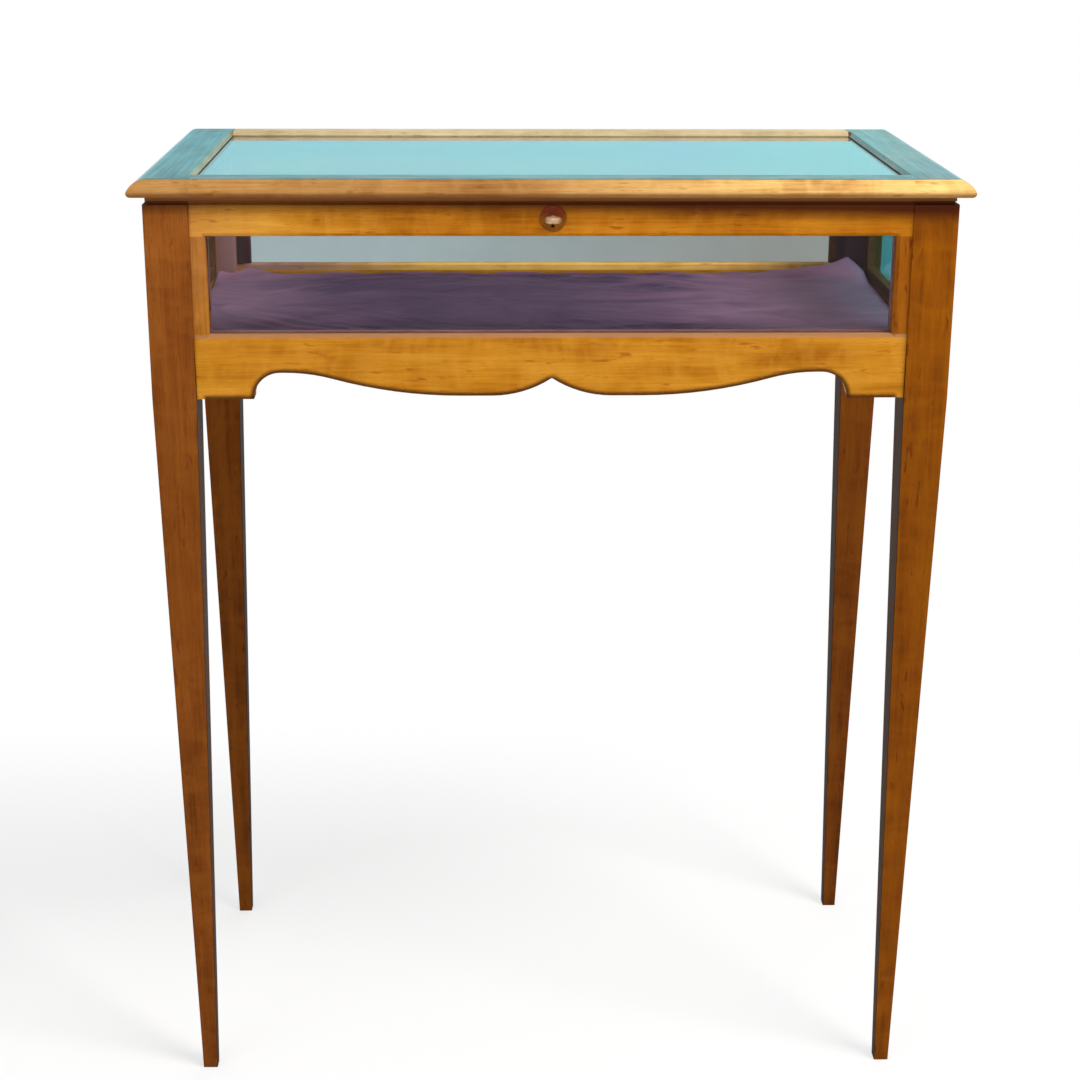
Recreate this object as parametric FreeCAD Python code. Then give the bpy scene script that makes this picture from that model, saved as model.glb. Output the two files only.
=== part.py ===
"""Collectors display table: a glazed case with a hinged, glazed lid on four tapered legs.

Millimetres. X runs to the right, the front faces -Y, Z is up. The origin is on the floor, under
the middle of the table. Every piece is a solid of its own, written to parts/NAME.step.
"""
import FreeCAD, Part
import math
import os

Vector = FreeCAD.Vector
os.makedirs("parts", exist_ok=True)

# ---------------------------------------------------------------- driving dimensions
# The table as a whole
total_height = 760.0
span_x = 612.0  # over the legs, side to side
span_y = 316.0  # over the legs, front to back
lid_gap = 0.2  # between the lid and what it rests on

# Legs
leg_size = 34.0
foot_size = 12.0
leg_arris = 0.8  # eased edges

# Glazed sides of the case
top_rail_height = 30.0
window_height = 75.0
apron_height = 50.0
frame_thickness = 16.0
frame_setback = 2.0  # rails and aprons lie this far behind the leg faces
stile_width = 11.5
window_chamfer = 2.5
tenon_thickness = 6.0
tenon_margin = 1.0  # from a tenon's end to the inner faces of the sides round the corner
tenon_shoulder = 8.0  # above and below a tenon
mortise_end_gap = 0.5
stub_length = 4.0  # stub tenons of the stiles
stub_margin = 1.0
groove_drop = 3.6  # dark line round the case, below its top
groove_height = 2.4
groove_depth = 1.5  # into the rails; above it the legs step back to the rails

# Glass and beads
glass_thickness = 3.0
glass_edge_gap = 0.3
glass_lip = 6.0  # wood in front of a case pane
rebate_width = 5.0
long_bead_stand = 0.8  # how far a bead stands past the sight edge, front and back
bead_stand = 3.5  # the same at the ends and in the lid
bead_round = 1.5

# Lower edge of the aprons: bracket, cove, shoulder, ogee, belly and centre point
scallop_rise = 20.5
belly_rise = 2.2
cusp_rise = 16.0
ogee_share = 0.27  # of the ogee that belongs to its upper arc
long_bracket = 43.5
long_shoulder = 4.0
long_belly = 24.0
long_cusp = 46.0
short_bracket = 27.0
short_shoulder = 2.0
short_belly = 5.0
short_cusp = 20.0

# Floor of the case
cleat_size = 12.0
baseboard_thickness = 6.0
velvet_thickness = 3.0
velvet_drop = 8.0  # velvet below the sill of the windows
board_edge_gap = 0.5
velvet_edge_gap = 0.6
board_screw_inset = 60.0  # first screw from the end of a cleat

# Lid
lid_thickness = 13.0
lid_overhang = 10.0
lid_stile_width = 46.0
lid_rail_width = 36.0
moulding_width = 13.5  # of the thumbnail moulding round the lid's upper edge
moulding_nose = 0.5  # its upright face
lower_round = 3.5
lid_lip = 4.0  # wood above the lid's pane
sight_bevel = 3.0  # round the opening, above the pane
lid_tenon_length = 22.0
lid_tenon_thickness = 4.0
lid_tenon_margin = 10.0  # from the lid's outer edge

# Hinges
hinge_length = 50.0
hinge_inset = 87.0  # from the middle of a hinge to the leg
leaf_thickness = 1.5
leaf_width = 14.0  # let into the back rail
leaf_gap = 0.2
leaf_end_gap = 0.3
knuckle_radius = 2.8
knuckle_gap = 0.2
knuckle_groove = 0.4  # clearance round the knuckles
pin_radius = 1.3
pin_clearance = 0.05
pin_head_radius = 2.0
pin_head_length = 0.8
pin_offset = 2.0  # pin axis behind the back faces of the legs
hinge_screw_pitch = 17.0

# Screws and pins
screw_head_radius = 2.6
screw_radius = 1.25
screw_point_length = 3.75
screw_tip_radius = 0.2
screw_slot_width = 0.6
screw_slot_depth = 0.7
screw_clearance = 0.05
hinge_screw_length = 10.0
board_screw_length = 14.0
lock_screw_length = 9.0
escutcheon_pin_radius = 0.6
escutcheon_pin_length = 6.0

# Lock
lock_width = 52.0
lock_height = 24.2
lock_plate_thickness = 1.2
selvedge_thickness = 1.5
lock_case_width = 40.0
lock_wall = 1.0
lock_case_inset = 0.2  # case above the lower edge of the plate
key_drop = 16.5  # key axis below the top of the front rail
bolt_thickness = 4.0
bolt_side_gap = 0.2
bolt_lift = 4.0  # lower edge of the bolt above the key axis
bolt_height = 4.0
bolt_tail = 18.4
bolt_head = 8.4
talon_width = 8.0
talon_depth = 2.4
bolt_throw = 6.0
arm_width = 3.5
nose_length = 5.5
nose_height = 2.6
nose_drop = 0.5  # nose below the selvedge
hook_gap = 0.4  # under the nose
hook_clearance = 1.0  # sideways, from the nose
hook_foot_height = 2.6
hook_leg_width = 2.8
hook_thickness = 2.5
hook_slot_gap = 0.6
guide_stud_radius = 1.5
guide_stud_place = 14.0
guide_gap = 0.1
drill_pin_radius = 1.1
drill_clearance = 0.08
link_plate_thickness = 1.2
link_plate_depth = 9.0
link_screw_place = 21.0
lock_screw_place = 23.0
lock_screw_margin = 6.0

# Key and escutcheon
shank_radius = 2.2
key_end_gap = 0.3
bit_radius = 6.0
bit_thickness = 1.6
bit_length = 3.2
keyhole_gap = 0.4
collar_radius = 2.8
collar_length = 1.6
collar_stand = 1.4  # of the collar off the escutcheon
bow_width = 12.5
bow_length = 10.5
bow_thickness = 4.6
bow_ring = 2.6
bow_corner = 5.0
bow_round = 1.8
escutcheon_radius = 10.0
escutcheon_thickness = 1.0
escutcheon_arris = 0.4
escutcheon_pin_place = 7.4

# ---------------------------------------------------------------- places that follow
lid_under = total_height - lid_thickness
case_top = lid_under - lid_gap
window_top = case_top - top_rail_height
sill = window_top - window_height
case_bottom = sill - apron_height
groove_z = (case_top - groove_drop - groove_height, case_top - groove_drop)

half_x = span_x / 2 - leg_size  # inner faces of the legs
half_y = span_y / 2 - leg_size
face_x = span_x / 2 - frame_setback  # outer faces of rails and aprons
face_y = span_y / 2 - frame_setback
room_x = face_x - frame_thickness  # inner faces of rails and aprons
room_y = face_y - frame_thickness

velvet_top = sill - velvet_drop
board_top = velvet_top - velvet_thickness
board_bottom = board_top - baseboard_thickness

lid_x = span_x / 2 + lid_overhang
lid_y = span_y / 2 + lid_overhang
lid_sight_x = lid_x - lid_stile_width
lid_sight_y = lid_y - lid_rail_width
lid_glass_top = total_height - lid_lip
lid_glass_under = lid_glass_top - glass_thickness

# name, turn about Z, half length between the legs, distance of the outer face, apron outline
long_outline = (long_bracket, long_shoulder, long_belly, long_cusp)
short_outline = (short_bracket, short_shoulder, short_belly, short_cusp)
sides = (
    ("front", 0, half_x, face_y, long_outline),
    ("right", 90, half_y, face_x, short_outline),
    ("back", 180, half_x, face_y, long_outline),
    ("left", 270, half_y, face_x, short_outline),
)

nodes = {}


# ---------------------------------------------------------------- helpers
def box(x0, x1, y0, y1, z0, z1):
    return Part.makeBox(x1 - x0, y1 - y0, z1 - z0, Vector(x0, y0, z0))


def turned(shape, angle, axis=Vector(0, 0, 1)):
    copy = shape.copy()
    copy.rotate(Vector(0, 0, 0), axis, angle)
    return copy


def moved(shape, x, y, z):
    copy = shape.copy()
    copy.translate(Vector(x, y, z))
    return copy


def rod(radius, start, end):
    """Cylinder between two points."""
    return Part.makeCylinder(radius, (end - start).Length, start, end - start)


def edges_where(shape, test):
    """Edges whose two ends both pass the test."""
    return [edge for edge in shape.Edges if all(test(vertex.Point) for vertex in edge.Vertexes)]


def near(a, b):
    return abs(a - b) < 1e-4


def frustum(half_a, half_b, depth):
    """Four-sided funnel on the XY plane: half_a x half_b at the top, wider below by its depth."""
    wires = []
    for grow, z in ((depth, 0), (0, depth)):
        a = half_a + grow
        b = half_b + grow
        corners = [Vector(-a, -b, z), Vector(a, -b, z), Vector(a, b, z), Vector(-a, b, z)]
        wires.append(Part.makePolygon(corners + corners[:1]))
    return Part.makeLoft(wires, True, True)


def bead_ring(half_a, half_b, width, depth):
    """Four mitred beads on the XY plane, with their inner top edges rounded."""
    beads = []
    for turn in (0, 90, 180, 270):
        a, b = (half_a, half_b) if turn in (0, 180) else (half_b, half_a)
        inner_a = a - width
        inner_b = b - width
        outer_corners = [Vector(-a, -b, 0), Vector(a, -b, 0)]
        inner_corners = [Vector(inner_a, -inner_b, 0), Vector(-inner_a, -inner_b, 0)]
        outline = Part.makePolygon(outer_corners + inner_corners + outer_corners[:1])
        bead = Part.Face(outline).extrude(Vector(0, 0, depth))
        inner_edge = edges_where(bead, lambda p: near(p.z, depth) and near(p.y, -inner_b))
        beads.append(turned(bead.makeFillet(bead_round, inner_edge), turn))
    return beads


def screw(length, grow=0.0):
    """Countersunk screw that points down, its head level with the XY plane."""
    head = screw_head_radius + grow
    shank = screw_radius + grow
    taper = head - shank
    point_top = screw_point_length - length
    body = Part.makeCone(shank, head, taper, Vector(0, 0, -taper))
    stem = Part.makeCylinder(shank, -taper - point_top, Vector(0, 0, point_top))
    tip = Part.makeCone(screw_tip_radius + grow, shank, screw_point_length, Vector(0, 0, -length))
    return body.fuse([stem, tip]).removeSplitter()


def slotted_screw(length):
    half_width = screw_slot_width / 2
    slot = box(-screw_head_radius, screw_head_radius, -half_width, half_width, -screw_slot_depth, 1)
    return screw(length).cut(slot)


def screw_hole(length):
    return screw(length, screw_clearance)


def placed_screws(maker, length, places, turn=0, axis=Vector(1, 0, 0)):
    """One screw or hole at each place, turned about an axis first."""
    return [moved(turned(maker(length), turn, axis), *place) for place in places]


def largest(shape):
    """The main solid of a shape, as one solid."""
    return max(shape.Solids, key=lambda solid: solid.Volume)


def add(name, *shapes):
    solids = [solid for shape in shapes for solid in shape.Solids]
    nodes[name] = solids[0] if len(solids) == 1 else Part.makeCompound(solids)


# ---------------------------------------------------------------- tenons
tenon_inset = (frame_thickness - tenon_thickness) / 2
tenon_length = leg_size - frame_setback - frame_thickness - tenon_margin
rail_tenon_z = (window_top + tenon_shoulder, case_top - tenon_shoulder)
apron_tenon_z = (case_bottom + tenon_shoulder, sill - tenon_shoulder)


def tenons(half_span, face, z_range, end_gap=0.0):
    """The two tenons of a front rail or apron; with an end gap, the mortises for them."""
    ys = (tenon_inset - face, tenon_inset + tenon_thickness - face)
    reach = half_span + tenon_length + end_gap
    return [box(half_span, reach, *ys, *z_range), box(-reach, -half_span, *ys, *z_range)]


def stubs(half_span, face, end_gap=0.0):
    """Stub tenons above and below the two stiles; with an end gap, the mortises for them."""
    inner = half_span - stile_width + rebate_width + stub_margin
    outer = half_span - stub_margin
    low = sill - stub_length - end_gap
    high = window_top + stub_length + end_gap
    ys = (tenon_inset - face, tenon_inset + tenon_thickness - face)
    pieces = []
    for start, end in ((inner, outer), (-outer, -inner)):
        for z0, z1 in ((low, sill), (window_top, high)):
            pieces.append(box(start, end, *ys, z0, z1))
    return pieces


# ---------------------------------------------------------------- legs
def rounded_square(side, z):
    """Square outline with eased corners, centred on the Z axis."""
    centre = side / 2 - leg_arris
    arcs = []
    for quarter, (sx, sy) in enumerate([(1, 1), (-1, 1), (-1, -1), (1, -1)]):
        arc = []
        for angle in (0, 45, 90):
            a = math.radians(90 * quarter + angle)
            out = Vector(math.cos(a), math.sin(a), 0) * leg_arris
            arc.append(Vector(sx * centre, sy * centre, z) + out)
        arcs.append(arc)
    edges = []
    for arc, after in zip(arcs, arcs[1:] + arcs[:1]):
        edges.append(Part.Arc(*arc).toShape())
        edges.append(Part.LineSegment(arc[2], after[0]).toShape())
    return Part.Wire(edges)


def leg_grooves():
    """Square rings that cut the dark line, and the step above it, into the legs' outer faces."""
    rings = []
    for depth, z0, z1 in ((groove_depth, *groove_z), (0, groove_z[1], case_top)):
        core_x = face_x - depth
        core_y = face_y - depth
        ring = box(-span_x, span_x, -span_y, span_y, z0, z1)
        rings.append(ring.cut(box(-core_x, core_x, -core_y, core_y, z0, z1)))
    return rings


def make_legs():
    section = rounded_square(leg_size, case_bottom)
    upright = Part.Face(section).extrude(Vector(0, 0, case_top - case_bottom))
    taper = Part.makeLoft([rounded_square(foot_size, 0), section], True, True)
    leg = upright.fuse(taper).removeSplitter()
    cuts = leg_grooves()
    for name, turn, half_span, face, outline in sides:
        for z_range in (rail_tenon_z, apron_tenon_z):
            cuts += [turned(m, turn) for m in tenons(half_span, face, z_range, mortise_end_gap)]
    places = (("front_left", -1, -1), ("front_right", 1, -1), ("back_right", 1, 1), ("back_left", -1, 1))
    for name, sx, sy in places:
        stood = moved(leg, sx * (span_x - leg_size) / 2, sy * (span_y - leg_size) / 2, 0)
        add("leg_" + name, largest(stood.cut(cuts)))


# ---------------------------------------------------------------- glazed sides
def window_cuts(half_span, face):
    """What a window takes out of its frame: the rebate for the pane, and the outer chamfer."""
    sight = half_span - stile_width
    rebate = box(
        -sight - rebate_width,
        sight + rebate_width,
        glass_lip - face,
        frame_thickness - face,
        sill - rebate_width,
        window_top + rebate_width,
    )
    funnel = turned(frustum(sight, window_height / 2, window_chamfer), -90, Vector(1, 0, 0))
    return [rebate, moved(funnel, 0, -face, (sill + window_top) / 2)]


def level_arc(level_end, other_end):
    """Arc in the XZ plane that is level at its first end."""
    dx = other_end.x - level_end.x
    dz = other_end.z - level_end.z
    radius = (dx * dx + dz * dz) / (2 * dz)
    half_turn = math.atan2(dx / radius, 1 - dz / radius) / 2
    rise = radius * (1 - math.cos(half_turn))
    middle = Vector(level_end.x + radius * math.sin(half_turn), level_end.y, level_end.z + rise)
    return Part.Arc(level_end, middle, other_end).toShape()


def apron_lower_edge(half_span, y, outline, sign):
    """One half of an apron's lower edge, from the centre point to the leg."""
    bracket, shoulder, belly, cusp = outline
    cove_end = half_span - bracket
    shoulder_end = cove_end - scallop_rise
    ogee_top = shoulder_end - shoulder
    belly_end = cusp + belly
    split = ogee_top - ogee_share * (ogee_top - belly_end)
    split_rise = scallop_rise - ogee_share * (scallop_rise - belly_rise)

    def point(x, rise):
        return Vector(sign * x, y, case_bottom + rise)

    return [
        level_arc(point(cusp, belly_rise), point(0, cusp_rise)),
        Part.LineSegment(point(cusp, belly_rise), point(belly_end, belly_rise)).toShape(),
        level_arc(point(belly_end, belly_rise), point(split, split_rise)),
        level_arc(point(ogee_top, scallop_rise), point(split, split_rise)),
        Part.LineSegment(point(ogee_top, scallop_rise), point(shoulder_end, scallop_rise)).toShape(),
        level_arc(point(shoulder_end, scallop_rise), point(cove_end, 0)),
        Part.LineSegment(point(cove_end, 0), point(half_span, 0)).toShape(),
        Part.LineSegment(point(half_span, 0), point(half_span, sill - case_bottom)).toShape(),
    ]


def apron_board(half_span, face, outline):
    edges = [Part.LineSegment(Vector(-half_span, -face, sill), Vector(half_span, -face, sill)).toShape()]
    for sign in (-1, 1):
        edges += apron_lower_edge(half_span, -face, outline, sign)
    wire = Part.Wire(Part.sortEdges(edges)[0])
    return Part.Face(wire).extrude(Vector(0, frame_thickness, 0))


# names of a side's two stiles, at its lower and its higher X before the side is turned
stile_names = {
    "front": ("left", "right"),
    "right": ("front", "back"),
    "back": ("right", "left"),
    "left": ("back", "front"),
}


def make_side(name, turn, half_span, face, outline):
    sight = half_span - stile_width
    inner = frame_thickness - face
    cuts = window_cuts(half_span, face)
    stub_mortises = stubs(half_span, face, mortise_end_gap)

    rail = box(-half_span, half_span, -face, inner, window_top, case_top)
    rail = rail.fuse(tenons(half_span, face, rail_tenon_z)).cut(cuts + stub_mortises)
    rail = rail.cut(box(-half_span, half_span, -face - 1, groove_depth - face, *groove_z))
    for cut in rail_cuts.get(name, []):
        rail = rail.cut(cut)
    add("top_rail_" + name, turned(largest(rail), turn))

    apron = apron_board(half_span, face, outline)
    apron = apron.fuse(tenons(half_span, face, apron_tenon_z)).cut(cuts + stub_mortises)
    add("apron_" + name, turned(largest(apron), turn))

    for stile_name, (x0, x1) in zip(stile_names[name], ((-half_span, -sight), (sight, half_span))):
        stile = box(x0, x1, -face, inner, sill, window_top)
        own_stubs = [s for s in stubs(half_span, face) if x0 < s.CenterOfMass.x < x1]
        stile = largest(stile.fuse(own_stubs).cut(cuts))
        add("stile_" + name + "_" + stile_name, turned(stile, turn))

    pane_x = sight + rebate_width - glass_edge_gap
    pane_y = glass_lip - face
    pane = box(
        -pane_x,
        pane_x,
        pane_y,
        pane_y + glass_thickness,
        sill - rebate_width + glass_edge_gap,
        window_top + rebate_width - glass_edge_gap,
    )
    add("glass_" + name, turned(pane, turn))

    bead_depth = frame_thickness - glass_lip - glass_thickness
    bead_width = rebate_width + (long_bead_stand if name in ("front", "back") else bead_stand)
    ring = (sight + rebate_width, window_height / 2 + rebate_width, bead_width, bead_depth)
    beads = bead_ring(*ring)
    stood = []
    for bead in beads:
        upright = turned(bead, -90, Vector(1, 0, 0))
        stood.append(turned(moved(upright, 0, pane_y + glass_thickness, (sill + window_top) / 2), turn))
    add("beads_" + name, *stood)


# ---------------------------------------------------------------- floor of the case
def notched_board(half_a, half_b, gap, z0, z1):
    """Board that fills the case, notched round the four legs."""
    board = box(gap - half_a, half_a - gap, gap - half_b, half_b - gap, z0, z1)
    notches = []
    for sx in (-1, 1):
        for sy in (-1, 1):
            xs = sorted((sx * (half_x - gap), sx * (half_a + 1)))
            ys = sorted((sy * (half_y - gap), sy * (half_b + 1)))
            notches.append(box(*xs, *ys, z0 - 1, z1 + 1))
    return board.cut(notches)


def trim_cleats():
    """The end cleats butt against the long ones."""
    for name in ("left", "right"):
        end_cleat = nodes["cleat_" + name]
        add("cleat_" + name, end_cleat.cut([nodes["cleat_front"], nodes["cleat_back"]]))


def make_floor():
    places = []
    for name, turn, half_span, face, outline in sides:
        inner = frame_thickness - face
        cleat_under = board_bottom - cleat_size
        cleat = box(-half_span, half_span, inner, inner + cleat_size, cleat_under, board_bottom)
        add("cleat_" + name, turned(cleat, turn))
        for x in (board_screw_inset - half_span, half_span - board_screw_inset):
            spot = Vector(x, inner + cleat_size / 2, board_top)
            places.append(tuple(FreeCAD.Rotation(Vector(0, 0, 1), turn).multVec(spot)))
    trim_cleats()
    holes = placed_screws(screw_hole, board_screw_length, places)
    for name, turn, half_span, face, outline in sides:
        add("cleat_" + name, nodes["cleat_" + name].cut(holes))
    add("baseboard", notched_board(room_x, room_y, board_edge_gap, board_bottom, board_top).cut(holes))
    add("baseboard_screws", *placed_screws(slotted_screw, board_screw_length, places))
    add("velvet_lining", notched_board(room_x, room_y, velvet_edge_gap, board_top, velvet_top))


# ---------------------------------------------------------------- lid
def lid_section(half_width, half_length):
    """Block along Y with the lid's section: thumbnail mouldings above, rounds below."""
    nose_under = lid_under + lower_round
    nose_top = nose_under + moulding_nose
    flat_end = half_width - moulding_width
    under_end = half_width - lower_round

    def point(x, z):
        return Vector(x, -half_length, z)

    edges = []
    for z, end in ((total_height, flat_end), (lid_under, under_end)):
        edges.append(Part.LineSegment(point(-end, z), point(end, z)).toShape())
    for sign in (-1, 1):
        nose_high = point(sign * half_width, nose_top)
        nose_low = point(sign * half_width, nose_under)
        edges += [
            level_arc(point(sign * flat_end, total_height), nose_high),
            Part.LineSegment(nose_high, nose_low).toShape(),
            level_arc(point(sign * under_end, lid_under), nose_low),
        ]
    wire = Part.Wire(Part.sortEdges(edges)[0])
    return Part.Face(wire).extrude(Vector(0, 2 * half_length, 0))


def moulded_blank():
    """The lid's outline as one block, moulded on all four edges."""
    return lid_section(lid_x, lid_y).common(turned(lid_section(lid_y, lid_x), 90))


def lid_tenons(end_gap=0.0):
    """Tenons of the two lid rails, left and right; with an end gap, the mortises for them."""
    rebate_y = lid_sight_y + rebate_width
    z0 = lid_glass_top - lid_tenon_thickness
    pieces = []
    for sx in (-1, 1):
        for sy in (-1, 1):
            xs = sorted((sx * lid_sight_x, sx * (lid_sight_x + lid_tenon_length + end_gap)))
            ys = sorted((sy * rebate_y, sy * (lid_y - lid_tenon_margin)))
            pieces.append(box(*xs, *ys, z0, lid_glass_top))
    return pieces


def make_lid():
    blank = moulded_blank()
    rebate_x = lid_sight_x + rebate_width
    rebate_y = lid_sight_y + rebate_width
    rebate = box(-rebate_x, rebate_x, -rebate_y, rebate_y, lid_under, lid_glass_top)
    opening = box(-lid_sight_x, lid_sight_x, -lid_sight_y, lid_sight_y, lid_under, total_height)
    funnel = turned(frustum(lid_sight_x, lid_sight_y, sight_bevel), 180, Vector(1, 0, 0))
    frame = blank.cut([rebate, opening, moved(funnel, 0, 0, total_height)])

    for name, sx in (("left", -1), ("right", 1)):
        xs = sorted((sx * lid_sight_x, sx * lid_x))
        stile = frame.common(box(*xs, -lid_y, lid_y, lid_under, total_height))
        add("lid_stile_" + name, largest(stile.cut(lid_tenons(mortise_end_gap))))

    for name, sy in (("front", -1), ("back", 1)):
        ys = sorted((sy * lid_sight_y, sy * lid_y))
        rail = frame.common(box(-lid_sight_x, lid_sight_x, *ys, lid_under, total_height))
        own_tenons = [t for t in lid_tenons() if sy * t.CenterOfMass.y > 0]
        rail = rail.fuse(own_tenons).cut(lid_rail_cuts[name])
        add("lid_rail_" + name, largest(rail))

    pane_x = rebate_x - glass_edge_gap
    pane_y = rebate_y - glass_edge_gap
    add("lid_glass", box(-pane_x, pane_x, -pane_y, pane_y, lid_glass_under, lid_glass_top))

    beads = bead_ring(rebate_x, rebate_y, rebate_width + bead_stand, lid_glass_under - lid_under)
    hung = [moved(turned(bead, 180, Vector(1, 0, 0)), 0, 0, lid_glass_under) for bead in beads]
    add("lid_beads", *hung)


# ---------------------------------------------------------------- hinges
hinge_centre = half_x - hinge_inset
hinge_y = span_y / 2 + pin_offset
hinge_z = lid_under - leaf_thickness - leaf_gap / 2
leaf_back = face_y - leaf_width
knuckle_length = (hinge_length - 2 * knuckle_gap) / 3
case_leaf_top = hinge_z - leaf_gap / 2
lid_leaf_under = hinge_z + leaf_gap / 2


def hinge_screw_places(x, z):
    return [(x + step * hinge_screw_pitch, (leaf_back + face_y) / 2, z) for step in (-1, 0, 1)]


def pin_rod(radius, x0, x1):
    """Cylinder on the axis of the hinges."""
    return rod(radius, Vector(x0, hinge_y, hinge_z), Vector(x1, hinge_y, hinge_z))


def hinge_leaf(x, z0, z1, own_knuckles):
    """A leaf with its knuckles; own_knuckles numbers them 0 to 2 along X."""
    start = x - hinge_length / 2
    leaf = box(start, start + hinge_length, leaf_back, hinge_y, z0, z1)
    reach = knuckle_radius + knuckle_groove
    for number in range(3):
        x0 = start + number * (knuckle_length + knuckle_gap)
        x1 = x0 + knuckle_length
        if number in own_knuckles:
            leaf = leaf.fuse(pin_rod(knuckle_radius, x0, x1))
        else:
            ys = (hinge_y - reach, hinge_y + reach)
            leaf = leaf.cut(box(x0 - knuckle_gap, x1 + knuckle_gap, *ys, z0 - 1, z1 + 1))
    return leaf.cut(pin_rod(pin_radius + pin_clearance, start - 1, start + hinge_length + 1))


def make_hinges():
    case_places = []
    lid_places = []
    for name, sx in (("left", -1), ("right", 1)):
        x = sx * hinge_centre
        case_spots = hinge_screw_places(x, case_leaf_top)
        lid_spots = hinge_screw_places(x, lid_leaf_under)
        case_holes = placed_screws(screw_hole, hinge_screw_length, case_spots)
        lid_holes = placed_screws(screw_hole, hinge_screw_length, lid_spots, 180)
        case_leaf = hinge_leaf(x, case_leaf_top - leaf_thickness, case_leaf_top, (0, 2))
        lid_leaf = hinge_leaf(x, lid_leaf_under, lid_leaf_under + leaf_thickness, (1,))
        add("hinge_case_leaf_" + name, largest(case_leaf.cut(case_holes)))
        add("hinge_lid_leaf_" + name, largest(lid_leaf.cut(lid_holes)))
        end = hinge_length / 2 + knuckle_gap
        head_end = end + pin_head_length
        heads = [pin_rod(pin_head_radius, x + side * end, x + side * head_end) for side in (-1, 1)]
        add("hinge_pin_" + name, pin_rod(pin_radius, x - end, x + end).fuse(heads))
        case_places += case_spots
        lid_places += lid_spots
    add("hinge_case_screws", *placed_screws(slotted_screw, hinge_screw_length, case_places))
    add("hinge_lid_screws", *placed_screws(slotted_screw, hinge_screw_length, lid_places, 180))


def hinge_cuts_in_case():
    """Housings for the leaves and holes for the screws, as the back rail lies before it is turned."""
    cuts = []
    for sx in (-1, 1):
        x = sx * hinge_centre
        reach = hinge_length / 2 + leaf_end_gap
        housing_floor = case_leaf_top - leaf_thickness
        cuts.append(box(x - reach, x + reach, leaf_back, hinge_y, housing_floor, case_top + 1))
        cuts += placed_screws(screw_hole, hinge_screw_length, hinge_screw_places(x, case_leaf_top))
    return [turned(cut, 180) for cut in cuts]


def hinge_cuts_in_lid():
    """Grooves for the knuckles, and holes for the screws."""
    cuts = []
    for sx in (-1, 1):
        x = sx * hinge_centre
        reach = hinge_length / 2 + knuckle_gap + pin_head_length + leaf_end_gap
        cuts.append(pin_rod(knuckle_radius + knuckle_groove, x - reach, x + reach))
        cuts += placed_screws(screw_hole, hinge_screw_length, hinge_screw_places(x, lid_leaf_under), 180)
    return cuts


# ---------------------------------------------------------------- lock
lock_in = -room_y  # inner face of the front rail
lock_plate_y = lock_in - lock_plate_thickness
lock_case_y = lock_plate_y - bolt_thickness - 2 * bolt_side_gap - lock_wall
bolt_y = lock_plate_y - bolt_side_gap - bolt_thickness
hook_y = bolt_y + (bolt_thickness - hook_thickness) / 2
lock_bottom = case_top - lock_height
selvedge_under = case_top - selvedge_thickness
key_z = case_top - key_drop
bolt_under = key_z + bolt_lift
bolt_top = bolt_under + bolt_height
nose_top = selvedge_under - nose_drop
nose_under = nose_top - nose_height
hook_foot_top = nose_under - hook_gap
hook_foot_under = hook_foot_top - hook_foot_height
hook_x = nose_length + hook_clearance
hook_end = nose_length + bolt_throw + hook_clearance + hook_leg_width
lock_screw_z = (lock_bottom + lock_screw_margin, case_top - lock_screw_margin)
lock_screw_places = [(sx * lock_screw_place, lock_in, z) for sx in (-1, 1) for z in lock_screw_z]
hook_middle_y = hook_y + hook_thickness / 2
link_y = (hook_middle_y - link_plate_depth / 2, hook_middle_y + link_plate_depth / 2)
link_screw_places = [(sx * link_screw_place, hook_middle_y, lid_under) for sx in (-1, 1)]


def lock_plate_block():
    """Back plate and selvedge, without holes; the front rail is housed for it."""
    back = box(-lock_width / 2, lock_width / 2, lock_plate_y, lock_in, lock_bottom, case_top)
    return back.fuse(box(-lock_width / 2, lock_width / 2, lock_case_y, lock_in, selvedge_under, case_top))


def lock_case_block(inset=0.0):
    half = lock_case_width / 2 - inset
    under = lock_bottom + lock_case_inset + inset
    return box(-half, half, lock_case_y + inset, lock_plate_y, under, selvedge_under)


def keyhole(y0, y1):
    """Round hole with a slot below it for the bit, along Y."""
    hole = rod(shank_radius + keyhole_gap, Vector(0, y0, key_z), Vector(0, y1, key_z))
    half = bit_thickness / 2 + keyhole_gap
    return hole.fuse(box(-half, half, y0, y1, key_z - bit_radius - keyhole_gap, key_z))


def lock_screws(maker):
    return placed_screws(maker, lock_screw_length, lock_screw_places, -90)


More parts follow.
